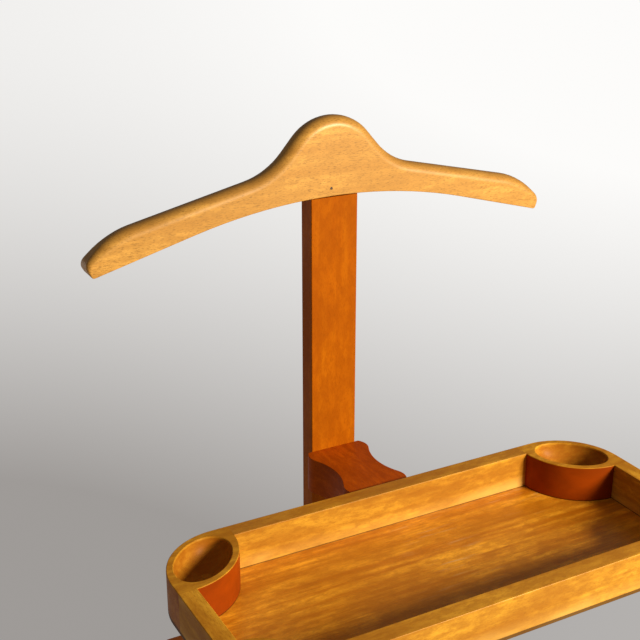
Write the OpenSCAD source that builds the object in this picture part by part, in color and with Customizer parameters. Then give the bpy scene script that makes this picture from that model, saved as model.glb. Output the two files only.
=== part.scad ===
// Valet stand: a coat hanger on one post, with a cup-cornered tray on a waisted bracket,
// a trouser rail below the tray and a base of two runners with shoe rails.
// +Z is up, +X is to the right seen from the front, and the front faces -Y.
// The origin is on the floor, at the middle of the stand's depth and width.

/* [Overall] */
// Height to the top of the hanger's crown
stand_h = 1080; // [900:5:1300]
// Gap between each dowel or screw and its bore, on the radius
bore_gap = 0.05; // [0.02:0.01:0.15]
// Gap on each side of a tenon, housing or let-in panel
joint_gap = 0.15; // [0.05:0.05:0.3]

/* [Hanger] */
// Width across the hanger's tips
hanger_w = 450; // [380:5:540]
// Thickness of the hanger board
hanger_t = 20; // [17:1:26]
// Height of the crown above the middle of the lower edge
crown_h = 69; // [60:1:82]
// Radius of the arched middle of the lower edge
arch_r = 513; // [420:1:620]
// Slope of the arms' lower edges, in degrees
arm_fall = 15; // [12:0.5:18]

/* [Post] */
// Width of the post
post_w = 46; // [38:1:56]
// Thickness of the post
post_t = 19; // [16:1:23]
// Width of the tenon that enters the hanger
tenon_w = 28; // [22:1:34]
// Thickness of that tenon
tenon_t = 8; // [6:0.5:10]
// Height of that tenon
tenon_h = 30; // [22:1:36]
// Diameter of the pin through the hanger and the tenon
pin_d = 2; // [1.4:0.1:3]

/* [Bracket] */
// Distance from the post to the tray
bracket_reach = 86; // [70:1:104]
// Thickness of the bracket
bracket_t = 35; // [28:1:36]
// Width across the bracket's lobes
bracket_w = 61; // [58:1:74]
// Width across its waist
waist_w = 44.4; // [40:0.2:50]
// Radius of each lobe
lobe_r = 15; // [13:0.5:18]

/* [Tray] */
// Width of the tray
tray_w = 442; // [360:1:530]
// Depth of the tray, front to back
tray_d = 195; // [160:1:240]
// Thickness of the tray's rails
rail_t = 15.5; // [13:0.5:18]
// Height of the tray's rails
rail_h = 37; // [36:1:46]
// Drop from the hanger's lower edge to the tray's rim
tray_drop = 242.5; // [200:0.5:300]
// Radius of the rear corners, outside
rear_corner_r = 57; // [52:1:68]
// Radius of the rounded inner wall of a rear corner block
cup_block_r = 60; // [54:1:66]
// Distance of that wall's centre from the tray's two outer faces
cup_block_c = 12; // [8:0.5:14]
// Radius of the front corners, outside
front_corner_r = 45; // [36:1:48]
// Radius of the rounded inner wall of a front corner block
front_block_r = 36.5; // [35:0.5:44]
// Distance of that wall's centre from the tray's two outer faces
front_block_c = 14; // [14:0.5:18]
// Length of a cup hollow, across the corner
cup_l = 66; // [54:1:70]
// Wall between a cup hollow and the nearest face
cup_wall = 5.6; // [3.5:0.1:6]
// Depth of a cup hollow
cup_depth = 22; // [16:1:26]
// Thickness of the tray's floor panel
floor_t = 3; // [2.5:0.5:5]
// How far the floor panel is let into the rails
floor_lap = 6.5; // [4:0.5:9]

/* [Dowels and screws] */
// Diameter of the dowels at the tray's corners and in the trouser arms
dowel_d = 6; // [5:0.5:8]
// Length of those dowels
dowel_l = 30; // [24:1:36]
// Diameter of the dowels between the bracket and the tray
mount_dowel_d = 10; // [8:0.5:11]
// Length of those dowels inside the bracket
mount_dowel_l = 24; // [18:1:30]
// Depth of those dowels inside the rear rail
mount_dowel_in = 9; // [7:0.5:10]
// Diameter of the wood screws
screw_d = 4.5; // [3.5:0.5:5]
// Diameter of their heads
screw_head_d = 9; // [8:0.5:10]
// Length of the bracket's screws
bracket_screw_l = 58; // [45:1:64]
// Length of the trouser rail's and the base's screws
short_screw_l = 31; // [27:1:33]
// Diameter of the floor panel's small screws
floor_screw_d = 2.4; // [2:0.2:3]
// Length of those screws
floor_screw_l = 13; // [10:1:18]

/* [Trouser rail] */
// Height of the trouser bar's centre above the floor
trouser_h = 590; // [480:5:680]
// Length of the crosspiece on the post
cross_l = 360; // [300:5:430]
// Height of the crosspiece
cross_h = 40; // [34:1:52]
// Thickness of the crosspiece
cross_t = 19; // [16:1:21]
// Reach of the two arms in front of the crosspiece
arm_l = 76; // [62:1:96]
// Height of the arms
arm_h = 30; // [26:1:36]
// Thickness of the arms
arm_t = 18; // [16:1:24]
// Diameter of the trouser bar
trouser_bar_d = 18; // [15:1:20]
// Depth of the bar's ends in the arms
bar_seat = 10; // [7:1:12]

/* [Base] */
// Distance between the centres of the two runners
runner_span = 350; // [290:5:420]
// Thickness of the runners
runner_t = 22; // [20:1:28]
// Height of the runners
runner_h = 58; // [52:1:72]
// Reach of the runners in front of the post
toe_reach = 262; // [220:1:275]
// Reach of the runners behind the post's front face
heel_reach = 105; // [85:1:130]
// Rise of the hollow under each runner
arch_rise = 15; // [8:1:18]
// Height of the stretcher
stretcher_h = 46; // [40:1:54]
// Thickness of the stretcher
stretcher_t = 24; // [22:1:30]
// Depth of the post's housing in the stretcher
housing = 6; // [4:0.5:8]
// Diameter of the stretcher's dowels
stretcher_dowel_d = 8; // [6:0.5:10]
// Diameter of the shoe rails
shoe_rail_d = 16; // [14:1:18]
// Distance between the centres of the shoe rails
shoe_rail_gap = 90; // [75:1:110]
// Depth of the shoe rails' ends in the runners
shoe_seat = 12; // [9:1:14]
// Diameter of the floor glides
glide_d = 18; // [14:1:20]
// Height of the floor glides
glide_h = 4; // [3:0.5:6]

/* [Hidden] */

beech = [0.82, 0.52, 0.22];
pale_beech = [0.90, 0.66, 0.36];
dark_beech = [0.66, 0.36, 0.13];
brass = [0.80, 0.65, 0.32];
steel = [0.35, 0.33, 0.31];
felt = [0.30, 0.24, 0.20];

cut = 1;                 // overshoot of a cutting solid past the face it opens
smooth = 96;             // facets of the true cylinders
rod_smooth = 48;         // facets of dowels, screws and their bores

// Places, front to back
post_y = (bracket_reach + tray_d - heel_reach) / 2;   // the post's front face
post_mid_y = post_y + post_t / 2;
tray_back_y = post_y - bracket_reach;
tray_front_y = tray_back_y - tray_d;

// Places, bottom to top
hanger_z = stand_h - crown_h;                          // middle of the hanger's lower edge
rim_z = hanger_z - tray_drop;
tray_z = rim_z - rail_h;
bracket_z = tray_z;
stretcher_z = glide_h + arch_rise;

// Hanger outline, measured from the middle of its lower edge
crown_r = 47;
crown_flank = 49;                                      // slope of the crown's two flanks
crown_corner_z = crown_h + crown_r * (1 / cos(crown_flank) - 1);
shoulder_z = 24.5;
shoulder = [(crown_corner_z - shoulder_z) / tan(crown_flank), shoulder_z];
shoulder_r = 65;
arm_top_fall = 12.7;
tip_x = hanger_w / 2;
tip_turn_x = tip_x - 20;
tip_turn_z = shoulder[1] - (tip_turn_x - shoulder[0]) * tan(arm_top_fall);
arch_end_x = arch_r * sin(arm_fall);
arch_end_z = arch_r * (cos(arm_fall) - 1);
tip_bevel = 2.15;                                      // how far the tip's corner lies past its rounding
tip_low_x = tip_x - 4;
tip_drop = 22.5;
arm_end_r = 70;
tip_r = 8;
tip_under_r = 3;
tip_low_z = arch_end_z - (tip_low_x - arch_end_x) * tan(arm_fall);
pin_x = -3.6;
pin_z = 7;
pin_past = 3;                                          // how far the pin goes in behind the tenon

// Bracket plan, measured along its reach and across it
lobe_s = 9.5;
lobe_x = bracket_w / 2 - lobe_r;
waist_rise = waist_w / 2 - lobe_x;
lobe_to_mid = bracket_reach / 2 - lobe_s;
waist_r = (lobe_to_mid ^ 2 + waist_rise ^ 2 - lobe_r ^ 2) / (2 * (lobe_r - waist_rise));
waist_x = waist_w / 2 + waist_r;
lobe_start = -asin(lobe_s / lobe_r);                   // where a lobe's arc leaves the end face
lobe_end = atan2(lobe_to_mid, waist_x - lobe_x);       // where it runs into the waist's arc

// Corner blocks: where their end faces meet the rails
cup_block_l = cup_block_c + sqrt(cup_block_r ^ 2 - (rail_t - cup_block_c) ^ 2);
front_block_l = front_block_c + sqrt(front_block_r ^ 2 - (rail_t - front_block_c) ^ 2);
floor_inset = rail_t - floor_lap;
side_rail_mid_y = (tray_front_y + tray_back_y - cup_block_l + front_block_l) / 2;

// A cup hollow's middle and half width, along the line that halves the corner
cup_near = rear_corner_r * (sqrt(2) - 1);
cup_far = cup_block_c * sqrt(2) + cup_block_r;
cup_mid = (cup_near + cup_far) / 2 / sqrt(2);
cup_half_w = (cup_far - cup_near) / 2 - cup_wall;

// Dowel rows of the tray's corners, up from the tray's underside
dowel_rows = [floor_t + 7, rail_h - 9];

// Screws and dowels, off the middle of what they join
bracket_screw_row = 9;
mount_dowel_row = 14;
arm_dowel_row = 8;
arm_dowel_in = 18;                                     // depth of those dowels in the arm
stretcher_dowel_row = 11;
post_screw_row = 11;
slot_w = 1.2;
slot_deep = 0.9;
screw_point_d = 1;
floor_screw_share = 0.3;                               // of the tray's width, from the middle
cup_screw_share = 0.62;                                // of a cup block's length, from the corner
floor_slot = 0.5;

// Trouser rail
cross_y = post_y - cross_t;
arm_x = cross_l / 2 - arm_t / 2;
bar_y = cross_y - arm_l + arm_h / 2;

// Runners and what joins them
runner_x = runner_span / 2;
inner_x = runner_x - runner_t / 2;
under_shoe_rail = 4;                                   // wood left below each shoe rail's bore
toe_to_shoe_rail = 64;
stretcher_y = post_y + post_t - housing;
shoe_rail_z = glide_h + arch_rise + under_shoe_rail + shoe_rail_d / 2;
front_shoe_y = post_y - toe_reach + toe_to_shoe_rail;
rear_shoe_y = front_shoe_y + shoe_rail_gap;
pad_l = 58;
pad_r = 4;
foot_r = 5;
end_r = 13;
back_r = 150;                                          // where the top meets the slope to each end
toe_slope = 84;
heel_slope = 58;
arch_run = 22;
arch_r_end = 30;
nail_l = 13;
nail_d = 2;
nail_lap = 1;
glide_edge = 1.2;

// ---- Outline helpers ----

// Points of the arc that rounds corner b, which lies between corners a and c
function corner_arc(a, b, c) =
    b[2] == 0 ? [[b[0], b[1]]] :
    let (p = [b[0], b[1]])
    let (u = unit([a[0], a[1]] - p))
    let (v = unit([c[0], c[1]] - p))
    let (half = acos(u * v) / 2)
    let (middle = p + unit(u + v) * b[2] / sin(half))
    let (start = p + u * b[2] / tan(half) - middle)
    let (finish = p + v * b[2] / tan(half) - middle)
    let (from = atan2(start[1], start[0]))
    let (turn = (atan2(finish[1], finish[0]) - from + 540) % 360 - 180)
    let (steps = max(3, ceil(abs(turn) / 7)))
    [for (i = [0:steps]) middle + b[2] * [cos(from + turn * i / steps), sin(from + turn * i / steps)]];

function unit(v) = v / norm(v);

// A closed outline from corners given as [x, y, radius]
function rounded(corners) =
    let (n = len(corners))
    [for (i = [0:n - 1]) each corner_arc(corners[(i + n - 1) % n], corners[i], corners[(i + 1) % n])];

function mirrored(corners) =
    [for (i = [len(corners) - 1:-1:0]) [-corners[i][0], corners[i][1], corners[i][2]]];

// ---- Small solids ----

// A rod along Y from the given point
module rod_y(from, d, l) {
    translate(from) rotate([-90, 0, 0]) cylinder(h = l, d = d, $fn = rod_smooth);
}

// A rod along X, centred on x = 0
module rod_x(y, z, d, l) {
    translate([-l / 2, y, z]) rotate([0, 90, 0]) cylinder(h = l, d = d, $fn = smooth);
}

// A slotted countersunk wood screw that points along -Y, its head's face at y = 0
module wood_screw(l) {
    head_h = (screw_head_d - screw_d) / 2;
    difference() {
        rotate([90, 0, 0]) union() {
            cylinder(h = head_h, d1 = screw_head_d, d2 = screw_d, $fn = rod_smooth);
            translate([0, 0, head_h])
                cylinder(h = l - head_h - screw_d, d = screw_d, $fn = rod_smooth);
            translate([0, 0, l - screw_d])
                cylinder(h = screw_d, d1 = screw_d, d2 = screw_point_d, $fn = rod_smooth);
        }
        translate([-screw_head_d / 2, -slot_deep, -slot_w / 2])
            cube([screw_head_d, slot_deep + cut, slot_w]);
    }
}

// The space a wood screw takes, with its gap
module screw_bore(l) {
    head_h = (screw_head_d - screw_d) / 2;
    g = bore_gap;
    rotate([90, 0, 0]) union() {
        cylinder(h = head_h, d1 = screw_head_d + 2 * g, d2 = screw_d + 2 * g, $fn = rod_smooth);
        translate([0, 0, -cut]) cylinder(h = cut, d = screw_head_d + 2 * g, $fn = rod_smooth);
        translate([0, 0, head_h]) cylinder(h = l - head_h + 1, d = screw_d + 2 * g, $fn = rod_smooth);
    }
}

// ---- Hanger and post ----

function hanger_outline() =
    let (right = [
        [shoulder[0], shoulder[1], shoulder_r],
        [tip_turn_x, tip_turn_z, arm_end_r],
        [tip_x + tip_bevel, tip_turn_z - tip_drop, tip_r],
        [tip_low_x, tip_low_z, tip_under_r]
    ])
    let (arch = [for (i = [0:20]) [
        arch_r * sin(arm_fall * (1 - i / 10)), arch_r * (cos(arm_fall * (1 - i / 10)) - 1), 0
    ]])
    rounded(concat([[0, crown_corner_z, crown_r]], right, arch, mirrored(right)));

module hanger_pin_rod(gap) {
    front = post_mid_y - hanger_t / 2;
    rod_y([pin_x, front, hanger_z + pin_z], pin_d + 2 * gap, (hanger_t + tenon_t) / 2 + pin_past);
}

module hanger_board() {
    g = joint_gap;
    color(pale_beech) difference() {
        translate([0, post_mid_y + hanger_t / 2, hanger_z])
            rotate([90, 0, 0]) linear_extrude(hanger_t) polygon(hanger_outline());
        translate([-tenon_w / 2 - g, post_mid_y - tenon_t / 2 - g, hanger_z - 3])
            cube([tenon_w + 2 * g, tenon_t + 2 * g, tenon_h + 4]);
        translate([0, -cut, 0]) hanger_pin_rod(bore_gap);
    }
}

module hanger_pin() {
    color(steel) hanger_pin_rod(0);
}

module post() {
    color(beech) difference() {
        union() {
            difference() {
                translate([-post_w / 2, post_y, stretcher_z])
                    cube([post_w, post_t, hanger_z - stretcher_z]);
                difference() {
                    translate([-post_w / 2 - cut, post_y - cut, hanger_z - arch_r / 2])
                        cube([post_w + 2 * cut, post_t + 2 * cut, arch_r / 2 + cut]);
                    translate([0, post_y - 2 * cut, hanger_z - arch_r]) rotate([-90, 0, 0])
                        cylinder(h = post_t + 4 * cut, r = arch_r, $fn = 720);
                }
            }
            translate([-tenon_w / 2, post_mid_y - tenon_t / 2, hanger_z - 2])
                cube([tenon_w, tenon_t, tenon_h + 2]);
        }
        hanger_pin_rod(bore_gap);
        bracket_screw_places() screw_bore(bracket_screw_l);
        cross_screw_places() mirror([0, 1, 0]) screw_bore(short_screw_l);
        foot_screw_places() screw_bore(short_screw_l);
    }
}

// ---- Bracket ----

module bracket_screw_places() {
    for (side = [-1, 1])
        translate([0, post_y + post_t, bracket_z + bracket_t / 2 + side * bracket_screw_row]) children();
}

module mount_dowel_rods(gap) {
    for (side = [-1, 1])
        rod_y([side * mount_dowel_row, tray_back_y - mount_dowel_in - gap, bracket_z + bracket_t / 2],
            mount_dowel_d + 2 * gap, mount_dowel_l + mount_dowel_in + 2 * gap);
}

// One side of the bracket's plan, as [across, along the reach]: lobe, waist, lobe
function bracket_side() =
    let (n = 18)
    let (lobe = [for (i = [0:n])
        let (a = lobe_start + (lobe_end - lobe_start) * i / n)
        [lobe_x + lobe_r * cos(a), lobe_s + lobe_r * sin(a)]])
    let (waist = [for (i = [1:n - 1])
        let (a = lobe_end * (1 - 2 * i / n))
        [waist_x - waist_r * cos(a), bracket_reach / 2 - waist_r * sin(a)]])
    let (far_lobe = [for (i = [n:-1:0]) [lobe[i][0], bracket_reach - lobe[i][1]]])
    concat(lobe, waist, far_lobe);

// The bracket seen from above, with its reach along -Y from y = 0
module bracket_plan() {
    side = bracket_side();
    last = len(side) - 1;
    polygon(concat(
        [for (p = side) [p[0], -p[1]]],
        [for (i = [last:-1:0]) [-side[i][0], -side[i][1]]]
    ));
}

module tray_bracket() {
    color(dark_beech) difference() {
        translate([0, post_y, bracket_z]) linear_extrude(bracket_t) bracket_plan();
        bracket_screw_places() screw_bore(bracket_screw_l);
        mount_dowel_rods(bore_gap);
    }
}

module bracket_screws() {
    color(brass) bracket_screw_places() wood_screw(bracket_screw_l);
}

module tray_mount_dowels() {
    color(pale_beech) mount_dowel_rods(0);
}

// ---- Tray ----

// Places its children at a corner of the tray, turned so that +X and +Y lead into the tray
module at_corner(side, front) {
    translate([side * tray_w / 2, front ? tray_front_y : tray_back_y, tray_z])
        scale([-side, front ? 1 : -1, 1]) children();
}

// A quarter of the tray's outline from its corner inwards, as long as l each way
module corner_region(l, r) {
    intersection() {
        square([l, l]);
        union() {
            translate([r, r]) circle(r = r, $fn = 2 * smooth);
            translate([r, 0]) square([l, l]);
            translate([0, r]) square([l, l]);
        }
    }
}

module corner_plan(l, corner_r, wall_r, wall_c) {
    intersection() {
        corner_region(l, corner_r);
        union() {
            translate([wall_c, wall_c]) circle(r = wall_r, $fn = 2 * smooth);
            square([l, rail_t]);
            square([rail_t, l]);
        }
    }
}

// The rows of dowels that cross a corner block's two end faces
module corner_dowel_rods(l, gap) {
    for (z = dowel_rows) {
        translate([l - dowel_l / 2 - gap, rail_t / 2, z]) rotate([0, 90, 0])
            cylinder(h = dowel_l + 2 * gap, d = dowel_d + 2 * gap, $fn = rod_smooth);
        translate([rail_t / 2, l - dowel_l / 2 - gap, z]) rotate([-90, 0, 0])
            cylinder(h = dowel_l + 2 * gap, d = dowel_d + 2 * gap, $fn = rod_smooth);
    }
}

// The floor panel's rebate under a corner block
module floor_rebate(l, corner_r) {
    i = floor_inset - joint_gap;
    translate([i, i, -cut]) linear_extrude(floor_t + cut) corner_region(l, corner_r - i);
}

module cup_corner(side) {
    color(beech) difference() {
        at_corner(side, false) difference() {
            linear_extrude(rail_h) corner_plan(cup_block_l, rear_corner_r, cup_block_r, cup_block_c);
            floor_rebate(cup_block_l, rear_corner_r);
            corner_dowel_rods(cup_block_l, bore_gap);
            translate([cup_mid, cup_mid, rail_h]) rotate(45)
                scale([cup_half_w, cup_l / 2, cup_depth]) sphere(r = 1, $fn = 44);
        }
        floor_screw_places() floor_screw_bore();
    }
}

module front_corner(side) {
    color(beech) difference() {
        at_corner(side, true) difference() {
            linear_extrude(rail_h) corner_plan(front_block_l, front_corner_r, front_block_r, front_block_c);
            floor_rebate(front_block_l, front_corner_r);
            corner_dowel_rods(front_block_l, bore_gap);
        }
        floor_screw_places() floor_screw_bore();
    }
}

module all_corner_dowels(gap) {
    for (side = [-1, 1]) {
        at_corner(side, false) corner_dowel_rods(cup_block_l, gap);
        at_corner(side, true) corner_dowel_rods(front_block_l, gap);
    }
}

// A rail along X at the tray's back or front, rebated along its inner lower edge
module long_rail(y, block_l, inner_side) {
    l = tray_w - 2 * block_l;
    lap = floor_lap + joint_gap;
    difference() {
        translate([-l / 2, y, tray_z]) cube([l, rail_t, rail_h]);
        translate([-l / 2 - cut, inner_side > 0 ? y + rail_t - lap : y - cut, tray_z - cut])
            cube([l + 2 * cut, lap + cut, floor_t + cut]);
        all_corner_dowels(bore_gap);
        floor_screw_places() floor_screw_bore();
    }
}

module side_rail(side) {
    y = tray_front_y + front_block_l;
    l = tray_d - front_block_l - cup_block_l;
    lap = floor_lap + joint_gap;
    x = side > 0 ? tray_w / 2 - rail_t : -tray_w / 2;
    color(beech) difference() {
        translate([x, y, tray_z]) cube([rail_t, l, rail_h]);
        translate([side > 0 ? x - cut : x + rail_t - lap, y - cut, tray_z - cut])
            cube([lap + cut, l + 2 * cut, floor_t + cut]);
        all_corner_dowels(bore_gap);
        floor_screw_places() floor_screw_bore();
    }
}

module tray_rear_rail() {
    color(pale_beech) difference() {
        long_rail(tray_back_y - rail_t, cup_block_l, -1);
        mount_dowel_rods(bore_gap);
    }
}

module tray_front_rail() {
    color(pale_beech) long_rail(tray_front_y, front_block_l, 1);
}

module tray_left_rail() {
    side_rail(-1);
}

module tray_right_rail() {
    side_rail(1);
}

module left_cup_corner() {
    cup_corner(-1);
}

module right_cup_corner() {
    cup_corner(1);
}

module left_front_corner() {
    front_corner(-1);
}

module right_front_corner() {
    front_corner(1);
}

module tray_corner_dowels() {
    color(pale_beech) all_corner_dowels(0);
}

module tray_floor() {
    w = tray_w - 2 * floor_inset;
    d = tray_d - 2 * floor_inset;
    rear_r = rear_corner_r - floor_inset;
    front_r = front_corner_r - floor_inset;
    color(pale_beech) difference() {
        translate([-w / 2, tray_front_y + floor_inset, tray_z]) linear_extrude(floor_t) union() {
            translate([front_r, 0]) square([w - 2 * front_r, d]);
            translate([0, front_r]) square([w, d - front_r - rear_r]);
            for (x = [front_r, w - front_r]) translate([x, front_r]) circle(r = front_r, $fn = 2 * smooth);
            for (x = [rear_r, w - rear_r]) translate([x, d - rear_r]) circle(r = rear_r, $fn = 2 * smooth);
            translate([rear_r, d / 2]) square([w - 2 * rear_r, d / 2]);
        }
        floor_screw_places() floor_screw_bore();
    }
}

// The panel's screws, along the middle of its lap and under each corner block
module floor_screw_places() {
    edge = rail_t - floor_lap / 2;
    block = cup_block_l * cup_screw_share;
    for (x = tray_w * floor_screw_share * [-1, 0, 1], y = [tray_front_y + edge, tray_back_y - edge])
        translate([x, y, tray_z]) children();
    for (side = [-1, 1]) {
        translate([side * (tray_w / 2 - edge), side_rail_mid_y, tray_z]) children();
        translate([side * (tray_w / 2 - block), tray_back_y - block, tray_z]) children();
        translate([side * (tray_w - front_block_l) / 2, tray_front_y + front_block_l / 2, tray_z])
            children();
    }
}

module floor_screw_shape(gap) {
    head_d = 2 * floor_screw_d;
    head_h = floor_screw_d / 2;
    cylinder(h = head_h, d1 = head_d + 2 * gap, d2 = floor_screw_d + 2 * gap, $fn = rod_smooth);
    translate([0, 0, head_h])
        cylinder(h = floor_screw_l - head_h + gap, d = floor_screw_d + 2 * gap, $fn = rod_smooth);
}

module floor_screw_bore() {
    floor_screw_shape(bore_gap);
    translate([0, 0, -cut]) cylinder(h = cut, d = 2 * floor_screw_d + 2 * bore_gap, $fn = rod_smooth);
}

module tray_floor_screws() {
    color(brass) floor_screw_places() difference() {
        floor_screw_shape(0);
        translate([-floor_screw_d, -floor_slot / 2, -cut])
            cube([2 * floor_screw_d, floor_slot, cut + floor_slot]);
    }
}

// ---- Trouser rail ----

module cross_screw_places() {
    for (side = [-1, 1]) translate([side * post_screw_row, cross_y, trouser_h]) children();
}

module arm_dowel_rods(gap) {
    for (side = [-1, 1], row = [-1, 1])
        rod_y([side * arm_x, cross_y - arm_dowel_in - gap, trouser_h + row * arm_dowel_row],
            dowel_d + 2 * gap, dowel_l + 2 * gap);
}

module trouser_crosspiece() {
    r = (cross_h - arm_h) / 2;
    corners = [
        [cross_l / 2, cross_h / 2, r], [-cross_l / 2, cross_h / 2, r],
        [-cross_l / 2, -cross_h / 2, r], [cross_l / 2, -cross_h / 2, r]
    ];
    color(beech) difference() {
        translate([0, post_y, trouser_h]) rotate([90, 0, 0])
            linear_extrude(cross_t) polygon(rounded(corners));
        cross_screw_places() mirror([0, 1, 0]) screw_bore(short_screw_l);
        arm_dowel_rods(bore_gap);
    }
}

module crosspiece_screws() {
    color(brass) cross_screw_places() mirror([0, 1, 0]) wood_screw(short_screw_l);
}

module trouser_arm(side) {
    h = arm_h / 2;
    inner = arm_x - arm_t / 2;
    color(beech) difference() {
        translate([side * arm_x - arm_t / 2, 0, trouser_h]) union() {
            translate([0, cross_y - arm_l + h, -h]) cube([arm_t, arm_l - h, arm_h]);
            translate([0, bar_y, 0]) rotate([0, 90, 0]) cylinder(h = arm_t, r = h, $fn = smooth);
        }
        translate([side > 0 ? inner - cut : -inner - bar_seat - bore_gap, bar_y, trouser_h])
            rotate([0, 90, 0])
                cylinder(h = bar_seat + bore_gap + cut, d = trouser_bar_d + 2 * bore_gap, $fn = smooth);
        arm_dowel_rods(bore_gap);
    }
}

module left_trouser_arm() {
    trouser_arm(-1);
}

module right_trouser_arm() {
    trouser_arm(1);
}

module trouser_arm_dowels() {
    color(pale_beech) arm_dowel_rods(0);
}

module trouser_bar() {
    color(pale_beech) rod_x(bar_y, trouser_h, trouser_bar_d, 2 * (arm_x - arm_t / 2 + bar_seat));
}

// ---- Base ----

module foot_screw_places() {
    for (side = [-1, 1])
        translate([side * post_screw_row, stretcher_y + stretcher_t, stretcher_z + stretcher_h / 2])
            children();
}

module stretcher_dowel_rods(gap) {
    for (side = [-1, 1], row = [-1, 1])
        translate([
            side * inner_x - dowel_l / 2 - gap,
            stretcher_y + stretcher_t / 2,
            stretcher_z + stretcher_h / 2 + row * stretcher_dowel_row
        ])
            rotate([0, 90, 0])
                cylinder(h = dowel_l + 2 * gap, d = stretcher_dowel_d + 2 * gap, $fn = rod_smooth);
}

module base_stretcher() {
    g = joint_gap;
    color(beech) difference() {
        translate([-inner_x, stretcher_y, stretcher_z]) cube([2 * inner_x, stretcher_t, stretcher_h]);
        translate([-post_w / 2 - g, stretcher_y - cut, stretcher_z - cut])
            cube([post_w + 2 * g, housing + cut, stretcher_h + 2 * cut]);
        foot_screw_places() screw_bore(short_screw_l);
        stretcher_dowel_rods(bore_gap);
    }
}

module stretcher_dowels() {
    color(pale_beech) stretcher_dowel_rods(0);
}

module post_foot_screws() {
    color(brass) foot_screw_places() wood_screw(short_screw_l);
}

// Side view of a runner: toe to the left, heel to the right, its foot pads at z = 0
function runner_outline() =
    let (toe = -toe_reach)
    let (heel = heel_reach)
    let (end_h = runner_h * 0.55)
    rounded([
        [toe, 0, foot_r], [toe + pad_l, 0, pad_r], [toe + pad_l + arch_run, arch_rise, arch_r_end],
        [heel - pad_l - arch_run, arch_rise, arch_r_end], [heel - pad_l, 0, pad_r], [heel, 0, foot_r],
        [heel, end_h, end_r], [heel - heel_slope, runner_h, back_r],
        [toe + toe_slope, runner_h, back_r], [toe, end_h, end_r]
    ]);

module glide_places() {
    for (side = [-1, 1], y = [post_y - toe_reach + pad_l / 2, post_y + heel_reach - pad_l / 2])
        translate([side * runner_x, y, 0]) children();
}

module shoe_rail(y, gap) {
    rod_x(y, shoe_rail_z, shoe_rail_d + 2 * gap, 2 * (inner_x + shoe_seat + gap));
}

module runner(side) {
    color(beech) difference() {
        translate([side * runner_x - runner_t / 2, post_y, glide_h])
            rotate([90, 0, 90]) linear_extrude(runner_t) polygon(runner_outline());
        stretcher_dowel_rods(bore_gap);
        shoe_rail(front_shoe_y, bore_gap);
        shoe_rail(rear_shoe_y, bore_gap);
        glide_places() glide_nail(bore_gap);
    }
}

module left_runner() {
    runner(-1);
}

module right_runner() {
    runner(1);
}

module rear_shoe_rail() {
    color(pale_beech) shoe_rail(rear_shoe_y, 0);
}

module front_shoe_rail() {
    color(pale_beech) shoe_rail(front_shoe_y, 0);
}

// The nail that holds a glide in its runner
module glide_nail(gap) {
    translate([0, 0, glide_h - nail_lap]) cylinder(h = nail_l + gap, d = nail_d + 2 * gap, $fn = rod_smooth);
}

module floor_glides() {
    color(felt) glide_places() union() {
        cylinder(h = glide_edge, d1 = glide_d - 2 * glide_edge, d2 = glide_d, $fn = rod_smooth);
        translate([0, 0, glide_edge]) cylinder(h = glide_h - glide_edge, d = glide_d, $fn = rod_smooth);
        glide_nail(0);
    }
}

hanger_board();
hanger_pin();
post();
tray_bracket();
bracket_screws();
tray_mount_dowels();
tray_rear_rail();
tray_front_rail();
tray_left_rail();
tray_right_rail();
left_cup_corner();
right_cup_corner();
left_front_corner();
right_front_corner();
tray_corner_dowels();
tray_floor();
tray_floor_screws();
trouser_crosspiece();
crosspiece_screws();
left_trouser_arm();
right_trouser_arm();
trouser_arm_dowels();
trouser_bar();
base_stretcher();
stretcher_dowels();
post_foot_screws();
left_runner();
right_runner();
rear_shoe_rail();
front_shoe_rail();
floor_glides();
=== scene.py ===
# %% [markdown]
# # A wooden valet stand
# A valet stand holds one day's clothes: a jacket on the hanger, small things in the tray, trousers
# over a bar and shoes on the rails at the foot. This one is all wood, cut from flat boards and
# round rods. The frame that is loaded first holds every piece as plain sharp-edged solids. Each
# step here makes one visible piece again with eased arrises and real grain, inside its solid.

# %% Load the frame
from math import asin, atan2, ceil, cos, degrees, pi, radians, sin, sqrt, tan

import bmesh
import bpy
from mathutils import Matrix, Vector


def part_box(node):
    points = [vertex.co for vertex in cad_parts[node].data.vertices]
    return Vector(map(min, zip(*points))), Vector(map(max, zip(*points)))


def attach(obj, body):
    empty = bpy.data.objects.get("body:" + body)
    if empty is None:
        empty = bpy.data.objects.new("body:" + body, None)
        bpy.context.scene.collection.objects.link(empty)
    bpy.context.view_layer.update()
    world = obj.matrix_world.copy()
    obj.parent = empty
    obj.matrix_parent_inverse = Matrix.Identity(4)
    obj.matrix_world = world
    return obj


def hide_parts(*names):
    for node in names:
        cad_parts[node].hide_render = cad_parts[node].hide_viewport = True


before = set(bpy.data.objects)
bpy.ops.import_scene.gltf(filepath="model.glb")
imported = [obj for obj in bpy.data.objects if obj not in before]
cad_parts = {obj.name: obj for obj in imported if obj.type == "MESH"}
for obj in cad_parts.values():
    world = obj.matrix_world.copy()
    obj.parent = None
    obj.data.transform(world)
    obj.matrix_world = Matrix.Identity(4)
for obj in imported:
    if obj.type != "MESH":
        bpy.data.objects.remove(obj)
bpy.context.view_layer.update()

MM = 0.001

# %% [markdown]
# ## The camera
# The camera stands in front of the stand and to its left, a little above the hanger, and looks
# down into the tray. A lens of about 65 mm keeps the tray's far end from shrinking too fast. The
# lower half of the stand is left out of this view, so that the hanger and the tray fill it.

# %% Set up the camera
LENS = 65.35
LOOK_DOWN = 21.04        # degrees below level
LOOK_RIGHT = 28.46       # degrees from +Y towards +X

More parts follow.
